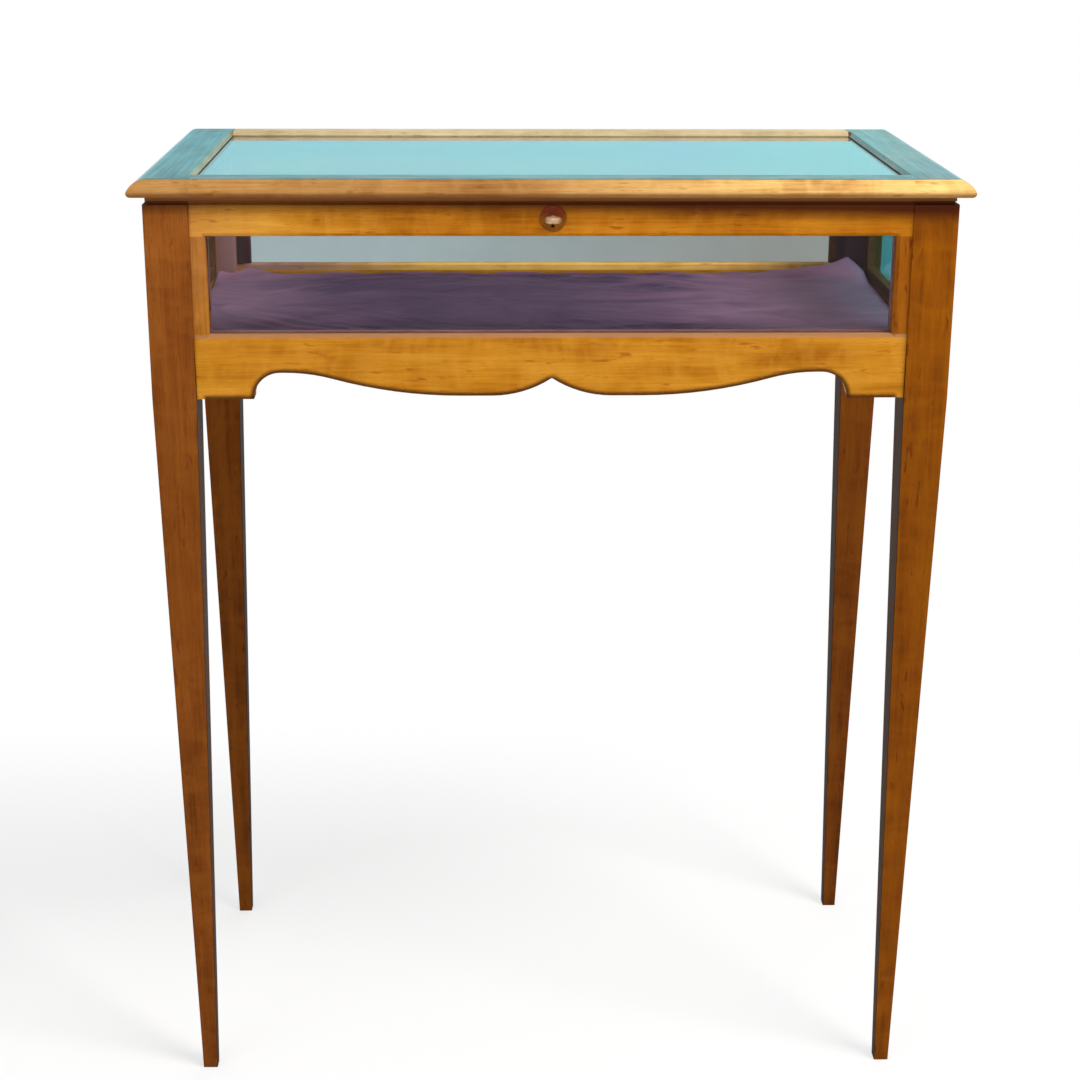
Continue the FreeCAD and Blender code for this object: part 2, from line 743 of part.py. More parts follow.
def make_lock():
    slot = box(
        hook_x - hook_slot_gap,
        hook_end + hook_slot_gap,
        hook_y - hook_slot_gap,
        hook_y + hook_thickness + hook_slot_gap,
        selvedge_under - 1,
        case_top + 1,
    )
    pin_hole = rod(drill_pin_radius, Vector(0, lock_plate_y - 1, key_z), Vector(0, lock_in, key_z))
    add("lock_plate", largest(lock_plate_block().cut([slot, pin_hole] + lock_screws(screw_hole))))

    case = lock_case_block().cut(lock_case_block(lock_wall))
    stud_start = lock_case_y + lock_wall / 2
    studs = []
    for x, z in (
        (-guide_stud_place, bolt_under - guide_gap - guide_stud_radius),
        (guide_stud_place, bolt_under - guide_gap - guide_stud_radius),
        (-guide_stud_place, bolt_top + guide_gap + guide_stud_radius),
    ):
        studs.append(rod(guide_stud_radius, Vector(x, stud_start, z), Vector(x, lock_plate_y, z)))
    case = case.fuse(studs).cut(keyhole(lock_case_y - 1, lock_case_y + lock_wall))
    add("lock_case", largest(case))

    add("lock_drill_pin", rod(drill_pin_radius, Vector(0, lock_case_y, key_z), Vector(0, lock_in, key_z)))
    add("lock_screws", *lock_screws(slotted_screw))

    bar = box(-bolt_tail, bolt_head, bolt_y, bolt_y + bolt_thickness, bolt_under, bolt_top)
    arm = box(-arm_width, 0, bolt_y, bolt_y + bolt_thickness, bolt_top, nose_top)
    nose = box(0, nose_length, bolt_y, bolt_y + bolt_thickness, nose_under, nose_top)
    middle = -bolt_throw / 2
    talon = box(
        middle - talon_width / 2,
        middle + talon_width / 2,
        bolt_y,
        bolt_y + bolt_thickness,
        bolt_under,
        bolt_under + talon_depth,
    )
    add("lock_bolt", largest(bar.fuse([arm, nose]).removeSplitter().cut(talon)))


def make_link_plate():
    plate = box(-lock_width / 2, lock_width / 2, *link_y, lid_under, lid_under + link_plate_thickness)
    hook_ys = (hook_y, hook_y + hook_thickness)
    leg = box(hook_end - hook_leg_width, hook_end, *hook_ys, hook_foot_under, lid_under)
    foot = box(hook_x, hook_end, *hook_ys, hook_foot_under, hook_foot_top)
    holes = placed_screws(screw_hole, lock_screw_length, link_screw_places, 180)
    add("link_plate", largest(plate.fuse([leg, foot]).removeSplitter().cut(holes)))
    add("link_screws", *placed_screws(slotted_screw, lock_screw_length, link_screw_places, 180))


def lock_cuts_in_case():
    """Housings in the front rail for the lock and its screws, and the keyhole through it."""
    cuts = [lock_plate_block(), lock_case_block(), keyhole(-face_y - 1, lock_case_y + 1)]
    return cuts + lock_screws(screw_hole) + escutcheon_pins()


def link_cuts_in_lid():
    half = lock_width / 2
    housing = box(-half, half, *link_y, lid_under - 1, lid_under + link_plate_thickness)
    return [housing] + placed_screws(screw_hole, lock_screw_length, link_screw_places, 180)


# ---------------------------------------------------------------- key and escutcheon
escutcheon_front = -face_y - escutcheon_thickness


def escutcheon_pins():
    pins = []
    for sx in (-1, 1):
        start = Vector(sx * escutcheon_pin_place, escutcheon_front, key_z)
        pins.append(rod(escutcheon_pin_radius, start, start + Vector(0, escutcheon_pin_length, 0)))
    return pins


def make_escutcheon():
    disc = rod(escutcheon_radius, Vector(0, -face_y, key_z), Vector(0, escutcheon_front, key_z))
    rim = [edge for edge in disc.Edges if near(edge.BoundBox.YMax, escutcheon_front)]
    disc = disc.makeFillet(escutcheon_arris, rim)
    holes = [keyhole(escutcheon_front - 1, -face_y + 1)] + escutcheon_pins()
    add("escutcheon", largest(disc.cut(holes)))
    add("escutcheon_pins", *escutcheon_pins())


def rounded_plate(half_a, half_b, corner, y, thickness):
    """Flat plate across X and Y with rounded corners, its middle at y and at the key's height."""
    z0 = key_z - thickness / 2
    plate = box(-half_a, half_a, y - half_b, y + half_b, z0, z0 + thickness)
    upright = [edge for edge in plate.Edges if not near(edge.BoundBox.ZMin, edge.BoundBox.ZMax)]
    return plate.makeFillet(corner, upright)


def level_rims(shape):
    """Edges that lie level, all at one height."""
    return [edge for edge in shape.Edges if near(edge.BoundBox.ZMin, edge.BoundBox.ZMax)]


def make_key():
    tip = lock_plate_y - key_end_gap
    collar_front = escutcheon_front - collar_stand
    bow_start = collar_front - collar_length
    bow_middle = bow_start - bow_length / 2 + bow_ring / 2
    shank = rod(shank_radius, Vector(0, bow_start - bow_ring / 2, key_z), Vector(0, tip, key_z))
    collar = rod(collar_radius, Vector(0, bow_start, key_z), Vector(0, collar_front, key_z))
    bit_z = (key_z - bit_thickness / 2, key_z + bit_thickness / 2)
    bit = box(-bit_radius, 0, tip - bit_length, tip, *bit_z)
    outer = rounded_plate(bow_width / 2, bow_length / 2, bow_corner, bow_middle, bow_thickness)
    bow = outer.makeFillet(bow_round, level_rims(outer))
    hole_corner = bow_corner - bow_ring
    hole = (bow_width / 2 - bow_ring, bow_length / 2 - bow_ring, hole_corner, bow_middle, 2 * bow_thickness)
    bow = bow.cut(rounded_plate(*hole))
    bow_hole_inner = bow_middle + bow_length / 2 - bow_ring
    level = (key_z - shank_radius, key_z + shank_radius)
    shank = shank.cut(box(-shank_radius, shank_radius, bow_middle - bow_length, bow_hole_inner, *level))
    bore_end = Vector(0, lock_case_y - key_end_gap, key_z)
    bore = rod(drill_pin_radius + drill_clearance, bore_end, Vector(0, tip, key_z))
    add("key", largest(shank.fuse([collar, bit, bow]).removeSplitter().cut(bore)))


# ---------------------------------------------------------------- assembly
rail_cuts = {"front": lock_cuts_in_case(), "back": hinge_cuts_in_case()}
lid_rail_cuts = {"front": link_cuts_in_lid(), "back": hinge_cuts_in_lid()}

make_legs()
for side in sides:
    make_side(*side)
make_floor()
make_lid()
make_hinges()
make_lock()
make_link_plate()
make_escutcheon()
make_key()

for node_name, node_shape in nodes.items():
    node_shape.exportStep("parts/" + node_name + ".step")
    volumes = " ".join("%.1f" % solid.Volume for solid in node_shape.Solids)
    print(node_name, "valid" if node_shape.isValid() else "INVALID", volumes)
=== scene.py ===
"""Looks of a collectors display table: polished wood, old glass, brass, and velvet on its floor.

Metres, Z up, the front faces -Y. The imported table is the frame. The velvet is made here.
"""
import math

import bpy
from mathutils import Matrix, Vector


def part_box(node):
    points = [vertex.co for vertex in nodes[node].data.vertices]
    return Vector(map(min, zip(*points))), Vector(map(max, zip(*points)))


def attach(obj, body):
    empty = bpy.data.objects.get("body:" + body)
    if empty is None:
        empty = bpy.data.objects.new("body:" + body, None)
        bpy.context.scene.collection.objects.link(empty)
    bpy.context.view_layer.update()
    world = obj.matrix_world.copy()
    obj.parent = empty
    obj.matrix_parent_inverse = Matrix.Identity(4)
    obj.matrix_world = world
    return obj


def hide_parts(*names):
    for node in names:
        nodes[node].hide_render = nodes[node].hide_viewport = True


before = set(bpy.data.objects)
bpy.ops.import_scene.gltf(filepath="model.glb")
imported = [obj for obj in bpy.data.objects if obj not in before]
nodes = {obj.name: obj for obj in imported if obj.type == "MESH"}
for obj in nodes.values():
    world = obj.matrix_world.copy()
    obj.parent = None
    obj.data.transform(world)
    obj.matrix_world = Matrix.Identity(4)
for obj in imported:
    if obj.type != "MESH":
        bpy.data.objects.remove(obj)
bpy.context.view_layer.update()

# ---------------------------------------------------------------- places on the table
lining_low, lining_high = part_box("velvet_lining")
board_top = lining_low.z
velvet_top = lining_high.z
room_x = -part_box("stile_left_front")[1].x  # inner faces of the case
room_y = -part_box("stile_front_left")[1].y
leg_inner_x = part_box("leg_front_right")[0].x
leg_inner_y = -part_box("leg_front_right")[1].y
case_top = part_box("top_rail_front")[1].z
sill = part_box("apron_front")[1].z  # top of the aprons
groove_high = case_top - 0.0036  # of the line round the case
groove_low = groove_high - 0.0024
lid_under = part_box("lid_rail_back")[0].z
lid_edge_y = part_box("lid_rail_back")[1].y
lid_sight_x = -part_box("lid_stile_left")[1].x  # inner edges of the lid's frame
lid_sight_y = -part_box("lid_rail_front")[1].y
bevel_reach = 0.0039  # from the lid's inner edges to just past its bevel
end_band = 0.0125  # of the lid's edge at the front and back, where the grain runs across
nose_low = lid_under + 0.0035  # where the lid's edge turns under
keyhole_height = (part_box("escutcheon")[0].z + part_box("escutcheon")[1].z) / 2

# ---------------------------------------------------------------- shine of the coat of polish
dull = 0.0
satin = 0.1
inner_face_coat = 0.12
half_polished = 0.2
polished = 1.0
nose_shine = 0.08  # of the lid's edge, as a share of its top's

# ---------------------------------------------------------------- colours
white = (1.0, 1.0, 1.0)

# tones of a wood: dark, body, light, fleck
apron_tones = ((0.33, 0.105, 0.004), (0.49, 0.195, 0.01), (0.61, 0.28, 0.03), (0.33, 0.085, 0.006))
rail_tones = ((0.27, 0.076, 0.002), (0.47, 0.156, 0.006), (0.63, 0.25, 0.02), (0.28, 0.066, 0.005))
stile_tones = (
    (0.18, 0.046, 0.003),
    (0.32, 0.098, 0.005),
    (0.42, 0.145, 0.015),
    (0.18, 0.034, 0.004),
)
leg_tones = (
    (0.12, 0.028, 0.0004),
    (0.2, 0.052, 0.0006),
    (0.27, 0.08, 0.001),
    (0.1, 0.018, 0.0005),
)
dull_leg_tones = (
    (0.115, 0.028, 0.002),
    (0.19, 0.05, 0.004),
    (0.25, 0.077, 0.008),
    (0.1, 0.018, 0.002),
)
# painted shade: a darker copy of the legs' tones for the legs at the back
shaded_back_leg_tones = (
    (0.08, 0.019, 0.0006),
    (0.14, 0.036, 0.0015),
    (0.19, 0.055, 0.003),
    (0.07, 0.012, 0.001),
)
lid_tones = ((0.04, 0.026, 0.012), (0.12, 0.085, 0.05), (0.22, 0.16, 0.1), (0.03, 0.018, 0.01))
nose_tones = ((0.28, 0.12, 0.03), (0.47, 0.245, 0.074), (0.6, 0.36, 0.13), (0.32, 0.12, 0.025))
# painted light: the back rail's pale gold top as a painted reflection, and its lit lip
lit_rail_tones = ((0.36, 0.27, 0.13), (0.52, 0.41, 0.23), (0.66, 0.53, 0.32), (0.32, 0.21, 0.1))
lit_lip_tones = ((0.3, 0.23, 0.1), (0.44, 0.35, 0.17), (0.52, 0.43, 0.23), (0.25, 0.16, 0.08))
# painted light on the left stile's bevel
lit_bevel_tones = (
    (0.16, 0.15, 0.08),
    (0.25, 0.25, 0.15),
    (0.33, 0.33, 0.22),
    (0.15, 0.12, 0.06),
)
# painted shade on the lip faces
shaded_lip_tones = (
    (0.04, 0.035, 0.025),
    (0.08, 0.07, 0.05),
    (0.12, 0.105, 0.08),
    (0.03, 0.025, 0.02),
)
# painted shade: a darker copy of the lid's tones for the left stile's top
shaded_lid_tones = ((0.02, 0.02, 0.012), (0.06, 0.06, 0.04), (0.12, 0.12, 0.08), (0.02, 0.015, 0.01))
bead_tones = ((0.06, 0.024, 0.008), (0.13, 0.055, 0.02), (0.2, 0.09, 0.036), (0.05, 0.018, 0.006))
mauve_bead_tones = (
    (0.12, 0.055, 0.05),
    (0.19, 0.09, 0.085),
    (0.26, 0.13, 0.12),
    (0.1, 0.045, 0.04),
)
# painted light on the back bead's lowest millimetre, as if lit from above
lit_bead_tones = ((0.45, 0.2, 0.03), (0.74, 0.4, 0.07), (0.9, 0.55, 0.15), (0.34, 0.13, 0.02))
inner_tones = ((0.22, 0.12, 0.05), (0.36, 0.21, 0.1), (0.46, 0.3, 0.16), (0.2, 0.1, 0.05))

# painted light and shade on the wood, and dirt along the aprons' lower edges
# painted light at the upper left of the case's sides
upper_left_light_colour = (0.36, 0.14, 0.055)
# painted shadow under the lid, and painted brown shade on the band just above the line round the
# case
lid_shade = (0.07, 0.013, 0.003)
band_brown_low = (0.16, 0.055, 0.012)
band_brown_high = (0.3, 0.11, 0.03)
# painted shade inside the case, at two depths
inside_shade = (0.055, 0.03, 0.03)
dark_inside_shade = (0.06, 0.04, 0.035)
# painted pink light on the inner faces of the back left leg
inside_pink_light = (0.33, 0.16, 0.11)
# painted shade tinted blue, as reflected sky, on the legs' inner faces
inner_shade_blue = (0.2, 0.24, 0.7)
# painted highlight along the top edge of the aprons
sill_highlight_colour = (0.3, 0.15, 0.085)
edge_dirt = (0.05, 0.012, 0.003)
# painted shade on the lid's nose where it turns under
nose_shade = (0.14, 0.045, 0.012)

pane_dust = (0.75, 0.8, 0.8)

brass_film = (0.3, 0.19, 0.07)
brass_rubbed = (0.62, 0.43, 0.18)
patina_low = (0.2, 0.06, 0.002)
patina_rubbed = (0.24, 0.08, 0.005)
# painted shade on the escutcheon above the keyhole
shade_above_keyhole = (0.19, 0.028, 0.015)
steel_film = (0.22, 0.21, 0.2)
steel_rubbed = (0.42, 0.41, 0.4)
bronze_film = (0.46, 0.28, 0.15)
bronze_rubbed = (0.6, 0.4, 0.25)
dull_bronze = (0.24, 0.12, 0.05)

velvet_crushed = (0.046, 0.023, 0.052)
velvet_upright = (0.148, 0.074, 0.124)
velvet_stroked = (0.235, 0.125, 0.185)
# painted shade in the velvet's middle, and painted sheen at its sides and on its raised folds
velvet_dim = (0.036, 0.021, 0.043)
velvet_side_sheen = (0.31, 0.17, 0.23)
velvet_fold = (0.4, 0.17, 0.26)
velvet_sheen = (0.8, 0.55, 0.8)

low_sky_blue = (0.36, 0.82, 1.0)
low_sky_green = (0.34, 0.9, 0.95)
high_sky = (0.7, 0.86, 0.9)
dim_room = (0.13, 0.13, 0.14)
warm_white = (1.0, 0.98, 0.96)
cool_white = (0.96, 0.98, 1.0)


# ---------------------------------------------------------------- node helpers
def feed(tree, socket, value):
    """Links a socket, or gives it a plain number or colour."""
    if isinstance(value, bpy.types.NodeSocket):
        tree.links.new(value, socket)
    elif socket.type == "RGBA":
        socket.default_value = (*value, 1.0)
    else:
        socket.default_value = value


def put(tree, kind, inputs=None, **settings):
    """Adds a shader node. Inputs are sockets to link or plain values."""
    node = tree.nodes.new("ShaderNode" + kind)
    for key, value in settings.items():
        setattr(node, key, value)
    for name, value in (inputs or {}).items():
        feed(tree, node.inputs[name], value)
    return node


def xyz(tree, vector):
    return put(tree, "SeparateXYZ", {0: vector}).outputs


def new_finish(name):
    """An empty material, its tree, the piece's own coordinates, and those one by one."""
    material = bpy.data.materials.new(name)
    material.use_nodes = True
    tree = material.node_tree
    tree.nodes.clear()
    place = put(tree, "TexCoord").outputs["Object"]
    return material, tree, place, xyz(tree, place)


def face_normal(tree):
    return xyz(tree, put(tree, "TexCoord").outputs["Normal"])


def finish_with(tree, shader):
    put(tree, "OutputMaterial", {"Surface": shader})


def scaled(tree, place, scale, shift=(0.0, 0.0, 0.0)):
    inputs = {"Vector": place, "Scale": scale, "Location": shift}
    return put(tree, "Mapping", inputs).outputs[0]


def noise(tree, place, scale, detail=3.0, roughness=0.5, distortion=0.0):
    inputs = {
        "Vector": place,
        "Scale": scale,
        "Detail": detail,
        "Roughness": roughness,
        "Distortion": distortion,
    }
    return put(tree, "TexNoise", inputs).outputs["Fac"]


def spread(tree, value, low, high, out_low=0.0, out_high=1.0):
    """The value stretched from low..high to out_low..out_high."""
    inputs = {
        "Value": value,
        "From Min": low,
        "From Max": high,
        "To Min": out_low,
        "To Max": out_high,
    }
    return put(tree, "MapRange", inputs, clamp=True).outputs[0]


def count(tree, operation, a, b=0.0):
    return put(tree, "Math", {0: a, 1: b}, operation=operation).outputs[0]


def product(tree, a, b):
    return count(tree, "MULTIPLY", a, b)


def larger(tree, a, b):
    return count(tree, "MAXIMUM", a, b)


def opposite(tree, share):
    return count(tree, "SUBTRACT", 1.0, share)


def blended(tree, factor, a, b, blend="MIX"):
    """Colour a turned into colour b by the factor."""
    inputs = {0: factor, 6: a, 7: b}
    return put(tree, "Mix", inputs, data_type="RGBA", blend_type=blend).outputs[2]


def times(tree, colour, tint):
    return blended(tree, 1.0, colour, tint, "MULTIPLY")


def bumped(tree, height, strength, distance):
    inputs = {"Height": height, "Strength": strength, "Distance": distance}
    return put(tree, "Bump", inputs).outputs[0]


# ---------------------------------------------------------------- where on the table
def past(tree, axes, half_x, half_y, which="MAXIMUM"):
    """How far a point lies outside an upright box round the Z axis, in metres."""
    out_x = count(tree, "SUBTRACT", count(tree, "ABSOLUTE", axes["X"]), half_x)
    out_y = count(tree, "SUBTRACT", count(tree, "ABSOLUTE", axes["Y"]), half_y)
    return count(tree, which, out_x, out_y)


def inside_case(tree, axes):
    """1 on the faces that look into the case, 0 outside it."""
    within = spread(tree, past(tree, axes, room_x, room_y), 0.0002, 0.0008, 1.0, 0.0)
    over_board = spread(tree, axes["Z"], board_top - 0.006, board_top)
    under_lid = spread(tree, axes["Z"], case_top, case_top + 0.001, 1.0, 0.0)
    return product(tree, within, product(tree, over_board, under_lid))


def facing_middle(tree, axes):
    """1 on the faces of the legs that look at each other across the table, below the case."""
    turned_in = product(tree, axes["X"], face_normal(tree)["X"])
    inner = spread(tree, turned_in, -0.2, -0.1, 1.0, 0.0)
    return product(tree, inner, spread(tree, axes["Z"], board_top - 0.01, board_top, 1.0, 0.0))


# ---------------------------------------------------------------- what changes the wood's colour
def tinted(tree, axes, colour, left, right):
    """The colour times one tint at the table's left end and another at its right end."""
    tint = blended(tree, spread(tree, axes["X"], -0.22, -0.1), left, white)
    tint = blended(tree, spread(tree, axes["X"], 0.08, 0.26), tint, right)
    return times(tree, colour, tint)


def side_of_case(tree, axes, colour):
    """Paler to the left, browner to the right, and with painted light at the upper left."""
    colour = tinted(tree, axes, colour, (1.22, 1.5, 2.6), (0.86, 0.8, 0.5))
    # painted light at the upper left
    left = spread(tree, axes["X"], -0.29, -0.2, 0.45, 0.0)
    upper_left_light = product(tree, left, spread(tree, axes["Z"], 0.63, 0.71))
    return blended(tree, upper_left_light, colour, upper_left_light_colour)


def back_bead(tree, axes, colour):
    """Duller to the left and a little duller to the right."""
    return tinted(tree, axes, colour, (0.5, 0.46, 1.5), (0.87, 0.85, 1.2))


def shaded_inside(tree, axes, colour):
    """Painted shade on the faces that look into the case, more to the right."""
    share = spread(tree, axes["X"], -0.2, 0.2, 0.3, 0.85)
    return blended(tree, product(tree, inside_case(tree, axes), share), colour, inside_shade)


def dark_inside(tree, axes, colour):
    """Painted shade all over the faces that look into the case."""
    return blended(tree, inside_case(tree, axes), colour, dark_inside_shade)


def lit_inside(tree, axes, colour):
    """Painted pink light on the faces that look into the case."""
    return blended(tree, product(tree, inside_case(tree, axes), 0.8), colour, inside_pink_light)


def pale_top(tree, axes, colour):
    """Painted light: paler and bluer towards the top of the legs."""
    up = spread(tree, axes["Z"], 0.53, 0.7)
    return times(tree, colour, blended(tree, up, (0.94, 0.94, 1.0), (1.25, 1.32, 2.0)))


def under_the_lid(tree, axes, colour):
    """Painted shadow below the lid's nose, more to the right. The band above the line is painted
    brown shade.
    """
    reach = spread(tree, axes["X"], -0.2, 0.3, 0.011, 0.0135)
    clear = spread(tree, axes["X"], 0.0, 0.28, 0.0, 0.35)
    drop = count(tree, "DIVIDE", count(tree, "SUBTRACT", groove_low, axes["Z"]), reach)
    shade = spread(tree, count(tree, "SUBTRACT", drop, clear), 0.0, 0.75, 0.94, 0.0)
    side = spread(tree, axes["X"], -0.26, 0.05, 0.84, 1.0)
    colour = blended(tree, product(tree, shade, side), colour, lid_shade)
    up_band = spread(tree, axes["Z"], groove_high, case_top)
    brown = blended(tree, up_band, band_brown_low, band_brown_high)
    above = spread(tree, axes["Z"], groove_high - 0.0001, groove_high + 0.0003)
    return blended(tree, above, colour, brown)


def apron_edges(tree, axes, colour):
    """A painted highlight along the sill, and dirt along the shaped lower edge."""
    # painted highlight on the top edge of the apron
    sill_highlight = spread(tree, axes["Z"], sill - 0.0028, sill - 0.0022, 0.0, 0.75)
    colour = blended(tree, sill_highlight, colour, sill_highlight_colour)
    settings = {"samples": 4, "inside": True, "only_local": True}
    thin = put(tree, "AmbientOcclusion", {"Distance": 0.0045}, **settings).outputs["AO"]
    edge = spread(tree, thin, 0.7, 1.0, 1.0, 0.0)
    low = spread(tree, axes["Z"], sill - 0.01, sill - 0.006, 1.0, 0.0)
    to_leg = past(tree, axes, leg_inner_x, leg_inner_y, "MINIMUM")
    low = product(tree, low, spread(tree, to_leg, -0.007, -0.004, 1.0, 0.0))
    return blended(tree, product(tree, edge, low), colour, edge_dirt)


# ---------------------------------------------------------------- wood
def grain_space(tree, place, axis, along, seed):
    """Coordinates in centimetres, drawn out along the grain by 1 / along."""
    scale = [100.0, 100.0, 100.0]
    scale["XYZ".index(axis)] = 100.0 * along
    return scaled(tree, place, scale, (seed * 3.7, seed * 5.3, seed * 7.9))


def mixed_tones(tree, factor, tones, other_tones):
    """Each tone of one wood turned into the same tone of another by the factor."""
    return [blended(tree, factor, tone, other) for tone, other in zip(tones, other_tones)]


def figured_wood(tree, place, axis, tones, seed):
    """Colour of the wood, the depth of its pores, and its patina."""
    dark, body, light, fleck = tones
    long_grain = grain_space(tree, place, axis, 0.05, seed)
    fine_grain = grain_space(tree, place, axis, 0.03, seed + 1)
    pore_grain = grain_space(tree, place, axis, 0.06, seed + 2)
    cross_grain = grain_space(tree, place, axis, 2.2, seed + 3)
    fleck_grain = grain_space(tree, place, axis, 0.22, seed + 4)
    cloud_grain = grain_space(tree, place, axis, 0.3, seed + 5)

    bands = noise(tree, long_grain, 0.8, 4.0, 0.55, 0.7)
    lines = noise(tree, fine_grain, 5.0, 3.0, 0.6, 0.4)
    clouds = noise(tree, cloud_grain, 0.5, 2.0, 0.5, 0.5)
    tone = spread(tree, bands, 0.3, 0.7, 0.0, 0.4)
    tone = count(tree, "ADD", tone, spread(tree, lines, 0.3, 0.7, 0.0, 0.3))
    tone = count(tree, "ADD", tone, spread(tree, clouds, 0.32, 0.68, 0.0, 0.3))
    colour = blended(tree, spread(tree, tone, 0.15, 0.5), dark, body)
    colour = blended(tree, spread(tree, tone, 0.5, 0.9), colour, light)

    ribbon = noise(tree, cross_grain, 0.3, 3.0, 0.5, 0.8)
    colour = blended(tree, spread(tree, ribbon, 0.4, 0.65, 0.0, 0.4), colour, light)
    flecks = noise(tree, fleck_grain, 2.4, 2.0, 0.5, 0.2)
    colour = blended(tree, spread(tree, flecks, 0.64, 0.74, 0.0, 0.75), colour, fleck)
    pores = noise(tree, pore_grain, 16.0, 2.0, 0.5, 0.0)
    pore_depth = spread(tree, pores, 0.56, 0.7)
    colour = blended(tree, product(tree, pore_depth, 0.45), colour, dark)

    patina = noise(tree, place, 7.0, 3.0, 0.6, 0.3)
    shade = blended(tree, spread(tree, patina, 0.3, 0.7), (0.84, 0.8, 0.76), (1.06, 1.06, 1.06))
    return times(tree, colour, shade), pore_depth, patina


def finish_wood(tree, colour, pore_depth, patina, coat, coat_roughness=0.2):
    inputs = {
        "Base Color": colour,
        "Roughness": spread(tree, patina, 0.3, 0.7, 0.45, 0.3),
        "Specular IOR Level": 0.0,
        "Coat Weight": coat,
        "Coat Roughness": coat_roughness,
        "Normal": bumped(tree, product(tree, pore_depth, -1.0), 0.15, 0.0003),
    }
    finish_with(tree, put(tree, "BsdfPrincipled", inputs).outputs[0])


def wood(name, axis, tones, seed, polish, changes=(), lit_sill_tones=None):
    """Wood whose grain runs along the axis, under a coat of polish.

    changes are the functions that change its colour at some places, and the last argument gives
    the tones of painted light on its lowest millimetre above the sill.
    """
    material, tree, place, axes = new_finish(name)
    # painted light on the lowest millimetre above the sill
    if lit_sill_tones:
        low = spread(tree, axes["Z"], sill + 0.0009, sill + 0.0012, 1.0, 0.0)
        tones = mixed_tones(tree, low, tones, lit_sill_tones)
    colour, pore_depth, patina = figured_wood(tree, place, axis, tones, seed)
    for change in changes:
        colour = change(tree, axes, colour)
    finish_wood(tree, colour, pore_depth, patina, polish)
    return material


def leg_wood(name, tones, seed, change_inside):
    """Wood of a leg, with painted shade tinted blue, as reflected sky, on the face that looks
    across the table.
    """
    material, tree, place, axes = new_finish(name)
    colour, pore_depth, patina = figured_wood(tree, place, "Z", tones, seed)
    for change in (change_inside, pale_top, under_the_lid):
        colour = change(tree, axes, colour)
    # painted shade and painted blue reflection on the inner faces
    inner = facing_middle(tree, axes)
    colour = times(tree, colour, blended(tree, inner, white, inner_shade_blue))
    coat = spread(tree, inner, 0.0, 1.0, satin, inner_face_coat)
    finish_wood(tree, colour, pore_depth, patina, coat)
    return material


def turned_ends(tree, place, axes):
    """Coordinates with X and Y exchanged at the lid's front and back edges."""
    inputs = {"X": axes["Y"], "Y": axes["X"], "Z": axes["Z"]}
    across = put(tree, "CombineXYZ", inputs).outputs[0]
    reach = count(tree, "ABSOLUTE", axes["Y"])
    band_start = lid_edge_y - end_band
    at_edge = spread(tree, reach, band_start - 0.0003, band_start + 0.0003)
    return put(tree, "Mix", {0: at_edge, 4: place, 5: across}, data_type="VECTOR").outputs[1]


def lid_wood(name, axis, seed, top_tones, bevel_tones, lip_tones, polish, bevel_polish):
    """Wood of the lid: its polished top, its nose with painted light to the right, and its bevel
    and lip.
    """
    material, tree, place, axes = new_finish(name)
    facing = face_normal(tree)
    from_sight = past(tree, axes, lid_sight_x, lid_sight_y)
    inward = spread(tree, from_sight, bevel_reach - 0.0003, bevel_reach + 0.0003, 1.0, 0.0)
    level = spread(tree, facing["Z"], 0.965, 0.992)
    lengthwise = spread(tree, count(tree, "ABSOLUTE", facing["Y"]), 0.15, 0.3, 1.0, 0.0)
    side = product(tree, lengthwise, opposite(tree, inward))
    top = larger(tree, level, side)
    bevel = product(tree, inward, opposite(tree, level))
    lip = product(tree, bevel, spread(tree, facing["Z"], 0.2, 0.4, 1.0, 0.0))

    tones = mixed_tones(tree, top, nose_tones, top_tones)
    tones = mixed_tones(tree, bevel, tones, bevel_tones)
    tones = mixed_tones(tree, lip, tones, lip_tones)
    grain_place = turned_ends(tree, place, axes) if axis == "Y" else place
    colour, pore_depth, patina = figured_wood(tree, grain_place, axis, tones, seed)
    nose = opposite(tree, larger(tree, top, bevel))
    # painted light: the nose is paler towards the right
    to_right = spread(tree, axes["X"], -0.04, 0.24)
    light_to_right = blended(tree, to_right, (0.78, 0.72, 0.68), (1.5, 1.7, 1.8))
    colour = blended(tree, nose, colour, times(tree, colour, light_to_right))
    # painted shade where the nose turns under
    turned_under = spread(tree, axes["Z"], nose_low - 0.001, nose_low + 0.0016, 0.62, 0.0)
    colour = blended(tree, turned_under, colour, nose_shade)

    streak_grain = grain_space(tree, grain_place, axis, 0.03, seed + 6)
    wiped_grain = grain_space(tree, grain_place, axis, 0.3, seed + 7)
    streaks = noise(tree, streak_grain, 3.0, 3.0, 0.6, 0.3)
    wiped = noise(tree, wiped_grain, 0.35, 2.0, 0.5, 0.4)
    shine = count(tree, "ADD", 0.6, spread(tree, streaks, 0.35, 0.65, 0.0, 0.2))
    shine = count(tree, "ADD", shine, spread(tree, wiped, 0.35, 0.65, 0.0, 0.2))
    coat = spread(tree, top, 0.0, 1.0, nose_shine * polish, polish)
    coat = larger(tree, coat, product(tree, bevel, bevel_polish))
    coat = product(tree, coat, opposite(tree, lip))
    finish_wood(tree, colour, pore_depth, patina, product(tree, shine, coat), 0.06)
    return material


